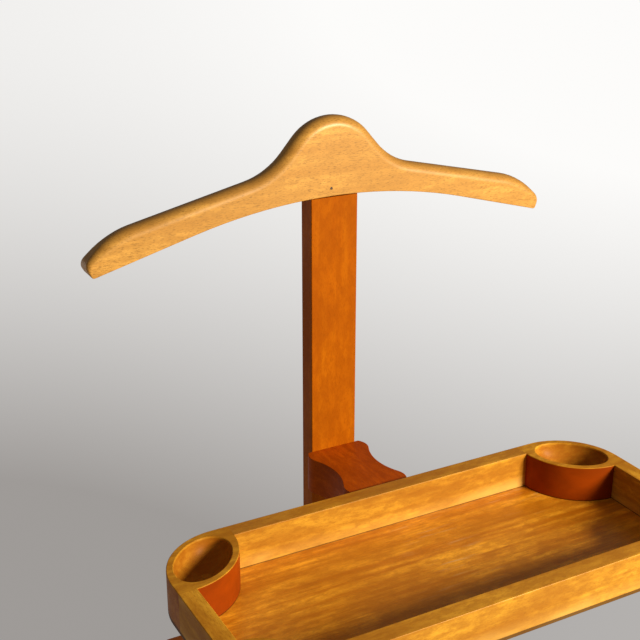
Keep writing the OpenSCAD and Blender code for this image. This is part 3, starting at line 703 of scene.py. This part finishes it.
def rounded_board(bm, thickness):
    """A board from an outline, whose arrises are rounded by the round-over's own width."""
    bm.verts.ensure_lookup_table()
    loop = walk_round(bm)
    count = len(loop)
    inward = [(loop[(i + 1) % count].co - loop[i - 1].co).normalized().cross(Vector((0, 0, -1)))
              for i in range(count)]
    base = [v.co.copy() for v in loop]
    widths = [round_over_width(p) for p in base]
    rings = [loop]
    for step in range(ROUND_STEPS + 1):
        a = pi / 2 * step / ROUND_STEPS
        rings.append([
            bm.verts.new(p + n * w * (1 - cos(a)) + Vector((0, 0, thickness / 2 - w * (1 - sin(a)))))
            for p, n, w in zip(base, inward, widths)
        ])
    for low_ring, high_ring in zip(rings, rings[1:]):
        for i in range(count):
            j = (i + 1) % count
            bm.faces.new((low_ring[i], low_ring[j], high_ring[j], high_ring[i]))
    bm.faces.new(rings[-1])
    bmesh.ops.mirror(bm, geom=bm.verts[:] + bm.edges[:] + bm.faces[:], merge_dist=1e-7, axis="Z")
    bmesh.ops.translate(bm, verts=bm.verts[:], vec=(0, 0, thickness / 2))
    bmesh.ops.recalc_face_normals(bm, faces=bm.faces[:])
    return bm


# %% [markdown]
# ## The hanger
# The board is stood up and set on the post, and a shallow hole is cut where the pin's head shows.
# The upper edge gets painted shade, most of all where it faces straight up and less where it slopes to the
# right, so an attribute marks it for the wood's finish.

# %% Make the hanger
PIN_HOLE_R, PIN_HOLE_L = 1.25 * MM, 3 * MM
# The painted shade on the upper edge is lessened where the edge slopes to the right, towards the softbox.
FACES_RIGHT = 0.25               # how much a slope to the right saves an edge from darkening

bm = rounded_board(draw_outline(whole), hanger_high.y - hanger_low.y)
bm.transform(Matrix.Translation((0, hanger_high.y, hanger_z)) @ STAND_UP)
hanger = as_object(bm, "hanger", hanger_wood)

painted_top_shade = hanger.data.attributes.new("painted_top_shade", "FLOAT", "POINT")
for vert in hanger.data.vertices:
    painted_top_shade.data[vert.index].value = max(0.0, vert.normal.z - FACES_RIGHT * vert.normal.x) ** 2

pin_low, pin_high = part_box("hanger_pin")
pin_hole = bmesh.new()
bmesh.ops.create_cone(pin_hole, cap_ends=True, segments=24, radius1=PIN_HOLE_R,
                      radius2=PIN_HOLE_R, depth=PIN_HOLE_L, matrix=STAND_UP)
bmesh.ops.translate(pin_hole, verts=pin_hole.verts[:],
                    vec=((pin_low.x + pin_high.x) / 2, hanger_low.y, (pin_low.z + pin_high.z) / 2))
cut_away(hanger, pin_hole)
finish_piece(hanger, "hanger_board", sharp_above=30)

# %% [markdown]
# ## The post
# The post is a plain board, wide in front and thin at the side. The solid's top is cut to the
# hanger's arch and has a tenon. Here the top is square, has no tenon, and ends one millimetre below
# the top of the arch, so that its corners don't run into the hanger.

# %% Make the post
post_low, post_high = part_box("post")
TOP_GAP = 1.0 * MM
SCREW_HEAD_R = 4.5 * MM
post_top = hanger_z - TOP_GAP
bm = make_box(post_low, Vector((post_high.x, post_high.y, post_top)))
ease_arrises(bm, 0.8 * MM, chosen=runs_along(2))
upright = as_object(bm, "upright", post_wood)
screw_low, screw_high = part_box("bracket_screws")
cut_away(upright, *[
    screw_hole(Vector((0, post_high.y, z)), (0, 1, 0))
    for z in (screw_low.z + SCREW_HEAD_R, screw_high.z - SCREW_HEAD_R)
])
finish_piece(upright, "post")

# %% [markdown]
# ## The bracket
# The bracket is a thick block, drawn in at the waist between two pairs of round lobes. Its outline
# is arcs that run into each other, so each is one corner of the outline with a radius of its own.

# %% Make the bracket
bracket_low, bracket_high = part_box("tray_bracket")
REACH = bracket_high.y - bracket_low.y
BRACKET_W = 61 * MM
WAIST = 44.4 * MM
LOBE_R = 15 * MM
LOBE_S = 9.5 * MM                # from the bracket's end to the middle of a lobe
END_EDGE = 20 * MM               # the straight ends are longer than this, and stay sharp
BRACKET_STEPS = 16
lobe_x = BRACKET_W / 2 - LOBE_R
lobe_to_mid = REACH / 2 - LOBE_S
waist_rise = WAIST / 2 - lobe_x
waist_r = (lobe_to_mid ** 2 + waist_rise ** 2 - LOBE_R ** 2) / (2 * (LOBE_R - waist_rise))
waist_x = WAIST / 2 + waist_r
lobe_start = -asin(LOBE_S / LOBE_R)
lobe_end = atan2(lobe_to_mid, waist_x - lobe_x)


def bracket_side():
    """Points down one side of the bracket, as (across, along the reach)."""
    lobe, waist = [], []
    for i in range(BRACKET_STEPS + 1):
        a = lobe_start + (lobe_end - lobe_start) * i / BRACKET_STEPS
        lobe.append((lobe_x + LOBE_R * cos(a), LOBE_S + LOBE_R * sin(a)))
    for i in range(1, BRACKET_STEPS):
        a = lobe_end * (1 - 2 * i / BRACKET_STEPS)
        waist.append((waist_x - waist_r * cos(a), REACH / 2 - waist_r * sin(a)))
    return lobe + waist + [(x, REACH - s) for x, s in reversed(lobe)]


edge_line = bracket_side()
plan = [(x, -s, 0) for x, s in edge_line] + [(-x, -s, 0) for x, s in reversed(edge_line)]
bm = thicken(draw_outline(plan), bracket_high.z - bracket_low.z)
ease_arrises(bm, 0.5 * MM, chosen=lambda e: is_level(e)
             and abs(e.verts[0].co.x - e.verts[1].co.x) < END_EDGE)
bm.transform(Matrix.Translation((0, bracket_high.y, bracket_low.z)))
finish_piece(as_object(bm, "bracket", bracket_wood), "tray_bracket")

# %% [markdown]
# ## The tray's rails
# Four straight rails make the tray's sides. A rebate along the inner lower edge takes the floor
# panel. The rebate of all rails and corner blocks is one shape, a little larger than the panel, so
# each piece is made whole and that one shape is cut away from it.

# %% Make the rails
panel_low, panel_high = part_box("tray_floor")
REAR_R = 57 * MM
FRONT_R = 45 * MM
RAIL_T = 15.5 * MM
JOINT_GAP = 0.15 * MM
BELOW = 2 * MM                   # how far a cutter reaches past the piece
tray_low_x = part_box("tray_left_rail")[0].x
tray_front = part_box("tray_front_rail")[0].y
tray_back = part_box("tray_rear_rail")[1].y
let_in = panel_low.x - tray_low_x


def panel_outline(grow):
    """The panel's outline, let in by the same amount all round the tray and then grown."""
    x, front, back = panel_high.x + grow, panel_low.y - grow, panel_high.y + grow
    front_r, rear_r = FRONT_R - let_in + grow, REAR_R - let_in + grow
    return draw_outline([(-x, front, front_r), (x, front, front_r), (x, back, rear_r), (-x, back, rear_r)])


def panel_space():
    """The room that the floor panel takes, open below."""
    bm = thicken(panel_outline(JOINT_GAP), panel_high.z - panel_low.z + BELOW)
    bmesh.ops.translate(bm, verts=bm.verts[:], vec=(0, 0, panel_low.z - BELOW))
    return bm


RAILS = {
    "tray_rear_rail": ("rear_rail", rail_wood, 0),
    "tray_front_rail": ("front_rail", rail_wood, 0),
    "tray_left_rail": ("left_rail", side_rail_wood, 1),
    "tray_right_rail": ("right_rail", side_rail_wood, 1),
}
for node_name, (name, wood, axis) in RAILS.items():
    bm = ease_arrises(make_box(*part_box(node_name)), 0.7 * MM, chosen=runs_along(axis))
    finish_piece(cut_away(as_object(bm, name, wood), panel_space()), node_name)

# %% [markdown]
# ## The corner blocks' outline
# Each corner is a solid block whose outer side turns the corner and whose inner side bulges into
# the tray. The two at the back are larger, since they are dished into cups.

# %% Draw a corner block
CUP_WALL_R, CUP_WALL_C = 60 * MM, 12 * MM
FRONT_WALL_R, FRONT_WALL_C = 36.5 * MM, 14 * MM
BLOCK_STEPS = 20


def block_loop(corner_r, wall_r, wall_c):
    """The block's outline, with the tray's corner at 0, 0 and the tray towards +X and +Y."""
    reach = wall_c + sqrt(wall_r ** 2 - (RAIL_T - wall_c) ** 2)
    start = atan2(RAIL_T - wall_c, reach - wall_c)
    wall = [
        (wall_c + wall_r * cos(a), wall_c + wall_r * sin(a), 0)
        for a in (start + (pi / 2 - 2 * start) * i / BLOCK_STEPS for i in range(BLOCK_STEPS + 1))
    ]
    return draw_outline([(0, 0, corner_r), (reach, 0, 0)] + wall + [(0, reach, 0)])


# %% [markdown]
# ## The cups
# A cup is oval, and its long way lies across the corner. It is cut by a spun bowl of unit size
# that is then stretched. The bowl's rim flares a little, so that the edge left on the block is
# soft, and above the rim the cutter goes straight up past the block's top.

# %% Shape the room in a cup
CUP_WALL = 5.6 * MM
CUP_HALF_L = 33 * MM
CUP_DEPTH = 22 * MM
CUP_POINTS = 72
BOWL_RINGS, BOWL_ARC = 14, radians(86)
LIP_RINGS, LIP_FLARE = 4, 0.07
CUTTER_TOP = 0.2
near = REAR_R * (sqrt(2) - 1)
far = CUP_WALL_C * sqrt(2) + CUP_WALL_R
cup_mid = (near + far) / 2 / sqrt(2)
cup_half_w = (far - near) / 2 - CUP_WALL


def cup_room(height):
    """The room inside a cup, for a block whose top is at that height."""
    bowl = [(sin(a), -cos(a)) for a in (BOWL_ARC * i / BOWL_RINGS for i in range(BOWL_RINGS + 1))]
    lip = [(1 + LIP_FLARE / 2 * (1 - cos(a)), -LIP_FLARE * (1 - sin(a)))
           for a in (pi / 2 * i / LIP_RINGS for i in range(1, LIP_RINGS + 1))]
    above = [(lip[-1][0], CUTTER_TOP), (0, CUTTER_TOP)]
    bm = bmesh.new()
    verts = [bm.verts.new((r, 0, z)) for r, z in bowl + lip + above]
    edges = [bm.edges.new(pair) for pair in zip(verts, verts[1:])]
    bmesh.ops.spin(bm, geom=verts + edges, cent=(0, 0, 0), axis=(0, 0, 1), angle=2 * pi, steps=CUP_POINTS,
                   use_merge=True)
    bmesh.ops.remove_doubles(bm, verts=bm.verts[:], dist=1e-6)
    bmesh.ops.recalc_face_normals(bm, faces=bm.faces[:])
    turn = Matrix.Rotation(pi / 4, 4, "Z")
    size = Matrix.Diagonal((cup_half_w, CUP_HALF_L, CUP_DEPTH, 1))
    bm.transform(Matrix.Translation((cup_mid, cup_mid, height)) @ turn @ size)
    return bm


print("cup:", round(2 * CUP_HALF_L / MM, 1), "x", round(2 * cup_half_w / MM, 1), "mm")

# %% [markdown]
# ## Make the blocks
# The wall towards the tray took the stain deepest, the outside took less, and the top took none. The cup
# takes a share too, which is partly stain and partly painted shade in its hollow. An attribute marks this
# on the faces for the wood's finish. The left and right blocks are one shape, seated in its corner by a
# mirror.

# %% Make the corner blocks
# The cup's share is partly stain and partly painted shade in its hollow.
WALL_STAIN, OUTSIDE_STAIN, CUP_STAIN_AND_SHADE = 1.0, 0.55, 0.4
UPRIGHT, BOWL_RIM = 0.35, 0.97         # how far up the normal of such a face points at most
FOOT, TOP = 5 * MM, 2 * MM             # from the block's lower and upper face


def mark_sides(mesh, low, high):
    """Marks a block's wall towards the tray fully with stain, its outside in part, and its cup in part with
    stain and painted shade.
    """
    tray_middle = sum(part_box("tray_floor"), Vector()) / 2
    tray_middle.z = (low.z + high.z) / 2
    marks = mesh.attributes.new("stain_and_cup_shade", "FLOAT", "FACE")
    for face in mesh.polygons:
        upright = abs(face.normal.z) < UPRIGHT
        deep_side = min(mesh.vertices[v].co.z for v in face.vertices) < low.z + FOOT
        in_bowl = face.normal.z < BOWL_RIM and face.center.z < high.z - TOP and not deep_side
        outside = face.normal.dot(face.center - tray_middle) > 0
        if upright and deep_side:
            marks.data[face.index].value = OUTSIDE_STAIN if outside else WALL_STAIN
        # A cup's hollow gets its share as stain and painted shade.
        elif in_bowl:
            marks.data[face.index].value = CUP_STAIN_AND_SHADE


def make_block(name, node, side, front):
    low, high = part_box(node)
    height = high.z - low.z
    sizes = (FRONT_R, FRONT_WALL_R, FRONT_WALL_C) if front else (REAR_R, CUP_WALL_R, CUP_WALL_C)
    bm = thicken(block_loop(*sizes), height)
    reach = max(v.co.x for v in bm.verts)

    def free_edge(edge):
        at_joint = any(all(v.co[i] > reach - 10 * SAME_PLACE for v in edge.verts) for i in (0, 1))
        return is_level(edge) and not at_joint

    ease_arrises(bm, 0.7 * MM, chosen=free_edge)
    corner = Vector((side * -tray_low_x, tray_front if front else tray_back, low.z))
    seat = Matrix.Translation(corner) @ Matrix.Diagonal((-side, 1 if front else -1, 1, 1))
    bm.transform(seat)
    bm.normal_update()
    bmesh.ops.recalc_face_normals(bm, faces=bm.faces[:])
    cutters = [panel_space()]
    if not front:
        room = cup_room(height)
        room.transform(seat)
        room.normal_update()
        bmesh.ops.recalc_face_normals(room, faces=room.faces[:])
        cutters.append(room)
    block = cut_away(as_object(bm, name, corner_wood), *cutters)
    mark_sides(block.data, low, high)
    return finish_piece(block, node)


for side, word in ((-1, "left"), (1, "right")):
    make_block(f"{word}_cup_block", f"{word}_cup_corner", side, front=False)
    make_block(f"{word}_front_block", f"{word}_front_corner", side, front=True)

# %% [markdown]
# ## The floor panel
# The panel is thin and screwed up into its rebate from below. Each screw gets a countersink a
# little wider than its head, so that a thin dark ring shows round the brass.

# %% Make the floor panel
bm = thicken(panel_outline(0), panel_high.z - panel_low.z)
bmesh.ops.translate(bm, verts=bm.verts[:], vec=(0, 0, panel_low.z))
panel = as_object(bm, "floor_panel", panel_wood)


def loose_centres(node):
    """The middle of each separate solid of a node, always in the same order."""
    bm = bmesh.new()
    bm.from_mesh(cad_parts[node].data)
    bmesh.ops.remove_doubles(bm, verts=bm.verts[:], dist=1e-6)
    left, centres = set(bm.verts), []
    while left:
        group, edge_of = set(), [left.pop()]
        while edge_of:
            v = edge_of.pop()
            group.add(v)
            fresh = {e.other_vert(v) for e in v.link_edges} & left
            left -= fresh
            edge_of.extend(fresh)
        low = Vector([min(v.co[i] for v in group) for i in range(3)])
        high = Vector([max(v.co[i] for v in group) for i in range(3)])
        centres.append((low + high) / 2)
    bm.free()
    return sorted(centres, key=tuple)


PANEL_SCREW_R, PANEL_SCREW_DEPTH = 2.55 * MM, 1.25 * MM
cut_away(panel, *[
    screw_hole(Vector((c.x, c.y, panel_low.z)), (0, 0, -1), PANEL_SCREW_R, PANEL_SCREW_DEPTH)
    for c in loose_centres("tray_floor_screws")
])
finish_piece(panel, "tray_floor")

# %% [markdown]
# ## The crosspiece
# The trouser rail starts with a crosspiece that is screwed to the front of the post. It is a board
# with round corners, a little higher than the arms that it carries.

# %% Make the crosspiece
cross_low, cross_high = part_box("trouser_crosspiece")
arm_low, arm_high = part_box("left_trouser_arm")
cross_h = cross_high.z - cross_low.z
arm_h = arm_high.z - arm_low.z
cross_r = (cross_h - arm_h) / 2
half_l = cross_high.x
bm = thicken(draw_outline([
    (half_l, cross_h / 2, cross_r), (-half_l, cross_h / 2, cross_r),
    (-half_l, -cross_h / 2, cross_r), (half_l, -cross_h / 2, cross_r),
]), cross_high.y - cross_low.y)
ease_arrises(bm, 0.8 * MM, chosen=is_level)
bm.transform(Matrix.Translation((0, cross_high.y, (cross_low.z + cross_high.z) / 2)) @ STAND_UP)
crosspiece = as_object(bm, "crosspiece", base_wood)
cut_away(crosspiece, *[
    screw_hole(Vector((c.x, cross_low.y, c.z)), (0, -1, 0)) for c in loose_centres("crosspiece_screws")
])
finish_piece(crosspiece, "trouser_crosspiece")


# %% [markdown]
# ## Round rods
# The trouser bar and the two shoe rails are turned rods, let into the pieces at their ends. One
# function gives both the rod and, a little larger, the bore that it sits in.

# %% Make a round rod
def round_bar(node, grow=0.0):
    """A plain bar along X in the place of that node, larger all round by grow."""
    low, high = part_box(node)
    radius = (high.z - low.z) / 2 + grow
    bm = bmesh.new()
    bmesh.ops.create_cone(bm, cap_ends=True, segments=64, radius1=radius, radius2=radius,
                          depth=high.x - low.x + 2 * grow, matrix=Matrix.Rotation(pi / 2, 4, "Y"))
    bmesh.ops.translate(bm, verts=bm.verts[:], vec=(low + high) / 2)
    return bm


def make_rod(name, node):
    """A round rod along X, with its ends slightly chamfered."""
    bm = ease_arrises(round_bar(node), 0.8 * MM, 2)
    return finish_piece(as_object(bm, name, rod_wood), node, sharp_above=50)


BORE_GAP = 0.05 * MM
make_rod("bar", "trouser_bar")

# %% [markdown]
# ## The trouser arms
# Two arms reach forward from the crosspiece and hold the bar near their round noses. Trousers hang
# folded over the bar. A nose is two round corners that almost meet.

# %% Make the trouser arms
NOSE = 0.999                     # a round nose's radius, as a share of half the arm's height
for word in ("left", "right"):
    low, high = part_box(f"{word}_trouser_arm")
    nose = (high.z - low.z) / 2
    back, front, middle = high.y, low.y, (low.z + high.z) / 2
    bm = thicken(draw_outline([
        (back, -nose, 0), (back, nose, 0), (front, nose, NOSE * nose), (front, -nose, NOSE * nose),
    ]), high.x - low.x)
    ease_arrises(bm, 0.7 * MM, chosen=lambda e: is_level(e)
                 and not all(abs(v.co.x - back) < 10 * SAME_PLACE for v in e.verts))
    bm.transform(Matrix.Translation((low.x, 0, middle)) @ ON_EDGE)
    bmesh.ops.recalc_face_normals(bm, faces=bm.faces[:])
    arm = as_object(bm, f"{word}_arm", runner_wood)
    finish_piece(cut_away(arm, round_bar("trouser_bar", BORE_GAP)), f"{word}_trouser_arm")

# %% [markdown]
# ## The stretcher
# The stretcher joins the two runners, and the foot of the post is housed in its front. The housing
# is cut a hair wider than the post.

# %% Make the stretcher
stretcher_low, stretcher_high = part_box("base_stretcher")
bm = ease_arrises(make_box(stretcher_low, stretcher_high), 0.8 * MM, chosen=runs_along(0))
stretcher = as_object(bm, "stretcher", base_wood)
housing = make_box(
    Vector((post_low.x - JOINT_GAP, stretcher_low.y - BELOW, stretcher_low.z - BELOW)),
    Vector((post_high.x + JOINT_GAP, post_high.y, stretcher_high.z + BELOW)))
cut_away(stretcher, housing, *[
    screw_hole(Vector((c.x, stretcher_high.y, c.z)), (0, 1, 0)) for c in loose_centres("post_foot_screws")
])
finish_piece(stretcher, "base_stretcher")

# %% [markdown]
# ## The runners
# Two runners lie front to back on felt glides. Each is hollowed underneath, so that it stands on
# its ends, and its top slopes down to the toe and the heel. All of it is one outline.

# %% Make the runners
PAD_L = 58 * MM
PAD_R = 4 * MM
FOOT_R = 5 * MM
END_R = 13 * MM
BACK_R = 150 * MM
TOE_SLOPE = 84 * MM
HEEL_SLOPE = 58 * MM
ARCH_RUN = 22 * MM
ARCH_RISE = 15 * MM
ARCH_FILLET = 30 * MM
END_SHARE = 0.55                 # the ends' height, as a share of the runner's
for word in ("left", "right"):
    low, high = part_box(f"{word}_runner")
    toe, heel = low.y, high.y
    top = high.z - low.z
    end_h = END_SHARE * top
    bm = thicken(draw_outline([
        (toe, 0, FOOT_R), (toe + PAD_L, 0, PAD_R), (toe + PAD_L + ARCH_RUN, ARCH_RISE, ARCH_FILLET),
        (heel - PAD_L - ARCH_RUN, ARCH_RISE, ARCH_FILLET), (heel - PAD_L, 0, PAD_R), (heel, 0, FOOT_R),
        (heel, end_h, END_R), (heel - HEEL_SLOPE, top, BACK_R),
        (toe + TOE_SLOPE, top, BACK_R), (toe, end_h, END_R),
    ]), high.x - low.x)
    ease_arrises(bm, 1.0 * MM, chosen=is_level)
    bm.transform(Matrix.Translation((low.x, 0, low.z)) @ ON_EDGE)
    bmesh.ops.recalc_face_normals(bm, faces=bm.faces[:])
    runner = as_object(bm, f"{word}_foot", runner_wood)
    cut_away(runner, round_bar("front_shoe_rail", BORE_GAP), round_bar("rear_shoe_rail", BORE_GAP))
    finish_piece(runner, f"{word}_runner")

# %% [markdown]
# ## The shoe rails
# Two round rails between the runners hold a pair of shoes. They are made like the trouser bar.

# %% Make the shoe rails
make_rod("front_rod", "front_shoe_rail")
make_rod("rear_rod", "rear_shoe_rail")
